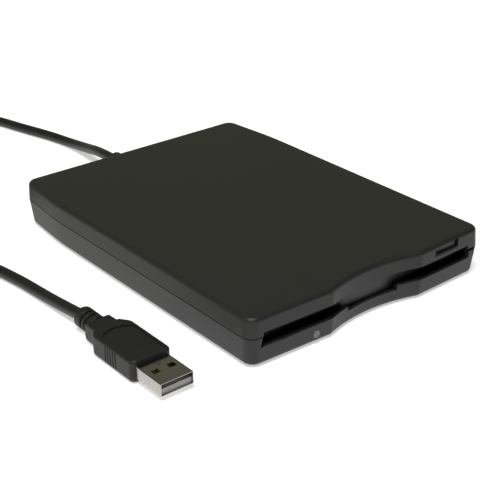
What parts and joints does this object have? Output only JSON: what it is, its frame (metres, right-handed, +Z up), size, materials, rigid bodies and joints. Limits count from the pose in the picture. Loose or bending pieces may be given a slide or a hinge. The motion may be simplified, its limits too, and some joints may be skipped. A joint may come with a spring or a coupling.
{
  "type": "external floppy disk drive",
  "caption": "Flat black desktop drive for 3.5-inch disks: two-part plastic case with a finger scoop, slot flap, eject button and a lead that ends in a flat plug.",
  "frame": {"origin": "on the table, under the middle of the case's outline", "axes": "+X to the right for a person facing the slot, +Y away from that person towards the cable exit, +Z up"},
  "size_m": [0.1624, 0.2759, 0.018],
  "materials": {
    "case_plastic": "fine moulded texture, near black",
    "key_plastic": "fine moulded texture, black",
    "foot_rubber": "soft black rubber",
    "screw_steel": "zinc-plated steel",
    "label_film": "plain grey film, bare",
    "lens_plastic": "frosted clear plastic, unlit",
    "led_epoxy": "green tinted epoxy",
    "spring_steel": "drawn spring wire",
    "pressed_steel": "zinc-plated pressed sheet",
    "polished_steel": "ground steel",
    "bearing_brass": "sintered bronze",
    "magnet_ferrite": "bonded ferrite",
    "chuck_plastic": "white acetal",
    "coil_copper": "enamelled copper",
    "board_green": "green solder mask",
    "chip_black": "moulded epoxy",
    "switch_plastic": "black acetal",
    "plunger_white": "white acetal",
    "wire_sheath": "thin vinyl sheaths",
    "carriage_plastic": "glass-filled plastic",
    "head_ceramic": "polished ferrite and ceramic",
    "ribbon_film": "amber polyimide film",
    "cord_sheath": "soft black vinyl",
    "plug_plastic": "moulded black vinyl",
    "plug_steel": "nickel-plated steel",
    "plug_white": "white plastic",
    "contact_gold": "gold flash on brass"
  },
  "bodies": {
    "case": {"bottom_cover": "case_plastic", "top_cover": "case_plastic", "rubber_feet": "foot_rubber", "case_screws": "screw_steel", "drive_screws": "screw_steel", "rating_plate": "label_film", "led_lens": "lens_plastic", "status_led": "led_epoxy", "flap_pin": "spring_steel", "flap_spring": "spring_steel", "chassis": "pressed_steel", "chassis_lid": "pressed_steel", "lid_screws": "screw_steel", "eject_springs": "spring_steel", "motor_board": "board_green", "stator_coils": "coil_copper", "spindle_bearing": "bearing_brass", "write_protect_switch": "switch_plastic", "density_switch": "switch_plastic", "disk_in_switch": "switch_plastic", "control_board": "board_green", "board_chips": "chip_black", "usb_header": "plunger_white", "inner_wires": "wire_sheath", "stepper_motor": "polished_steel", "stepper_bracket": "pressed_steel", "guide_rods": "polished_steel", "rod_clamps": "switch_plastic", "head_ribbon": "ribbon_film", "strain_relief": "cord_sheath", "cord_rear_run": "cord_sheath", "cord_front_run": "cord_sheath", "cord_coil": "cord_sheath", "plug_overmold": "plug_plastic", "plug_shell": "plug_steel", "plug_tongue": "plug_white", "plug_contacts": "contact_gold"},
    "eject_plate": {"eject_slider": "pressed_steel", "eject_button": "key_plastic"},
    "disk_tray": {"disk_carrier": "pressed_steel", "lever_pivot": "pressed_steel", "lever_spring": "spring_steel"},
    "shutter_arm": {"shutter_lever": "pressed_steel"},
    "slot_flap": {"dust_flap": "key_plastic"},
    "spindle": {"spindle_shaft": "polished_steel", "rotor_cup": "pressed_steel", "rotor_magnet": "magnet_ferrite", "chuck_plate": "chuck_plastic", "drive_pin": "polished_steel"},
    "screw_shaft": {"lead_screw": "polished_steel"},
    "head_assembly": {"head_carriage": "carriage_plastic", "lower_head": "head_ceramic", "arm_pin": "spring_steel"},
    "head_arm": {"upper_arm": "pressed_steel", "upper_head": "head_ceramic"},
    "write_protect_key": {"write_protect_plunger": "plunger_white"},
    "density_key": {"density_plunger": "plunger_white"},
    "disk_in_key": {"disk_in_plunger": "plunger_white"}
  },
  "joints": [
    {"name": "eject_slide", "type": "slide", "parent": "case", "child": "eject_plate", "axis": [0, -1, 0], "range_m": [0, 0.0045], "deforming": ["eject_springs"]},
    {"name": "tray_drop", "type": "slide", "parent": "case", "child": "disk_tray", "axis": [0, 0, -1], "range_m": [0, 0.002]},
    {"name": "lever_swing", "type": "hinge", "parent": "disk_tray", "child": "shutter_arm", "pos_m": [-0.038, 0.036, 0.0135], "axis": [0, 0, 1], "range_deg": [0, 51.6], "stiffness_Nm_per_rad": 0.002, "springref_deg": -34.38},
    {"name": "flap_swing", "type": "hinge", "parent": "case", "child": "slot_flap", "pos_m": [0, -0.0637, 0.0135], "axis": [1, 0, 0], "range_deg": [0, 85], "stiffness_Nm_per_rad": 0.001, "springref_deg": -28.65},
    {"name": "spindle_turn", "type": "hinge", "parent": "case", "child": "spindle", "pos_m": [0, -0.016, 0.006], "axis": [0, 0, 1], "continuous": true},
    {"name": "head_slide", "type": "slide", "parent": "case", "child": "head_assembly", "axis": [0, -1, 0], "range_m": [0, 0.015], "deforming": ["head_ribbon"]},
    {"name": "screw_turn", "type": "hinge", "parent": "case", "child": "screw_shaft", "pos_m": [0.0184, 0.04, 0.009], "axis": [0, 1, 0], "range_deg": [0, 1440]},
    {"name": "arm_lift", "type": "hinge", "parent": "head_assembly", "child": "head_arm", "pos_m": [0, 0.053, 0.0132], "axis": [1, 0, 0], "range_deg": [0, 7.5]},
    {"name": "write_protect_press", "type": "slide", "parent": "case", "child": "write_protect_key", "axis": [0, 0, -1], "range_m": [0, 0.0011], "stiffness_N_per_m": 60, "springref_m": -0.0004},
    {"name": "density_press", "type": "slide", "parent": "case", "child": "density_key", "axis": [0, 0, -1], "range_m": [0, 0.0011], "stiffness_N_per_m": 60, "springref_m": -0.0004},
    {"name": "disk_in_press", "type": "slide", "parent": "case", "child": "disk_in_key", "axis": [0, 0, -1], "range_m": [0, 0.0011], "stiffness_N_per_m": 60, "springref_m": -0.0004}
  ],
  "couplings": [
    {"joint": "tray_drop", "follows": "eject_slide", "ratio": 0.44444},
    {"joint": "arm_lift", "follows": "eject_slide", "rad_per_m": 29.089},
    {"joint": "screw_turn", "follows": "head_slide", "rad_per_m": 1675.5}
  ]
}
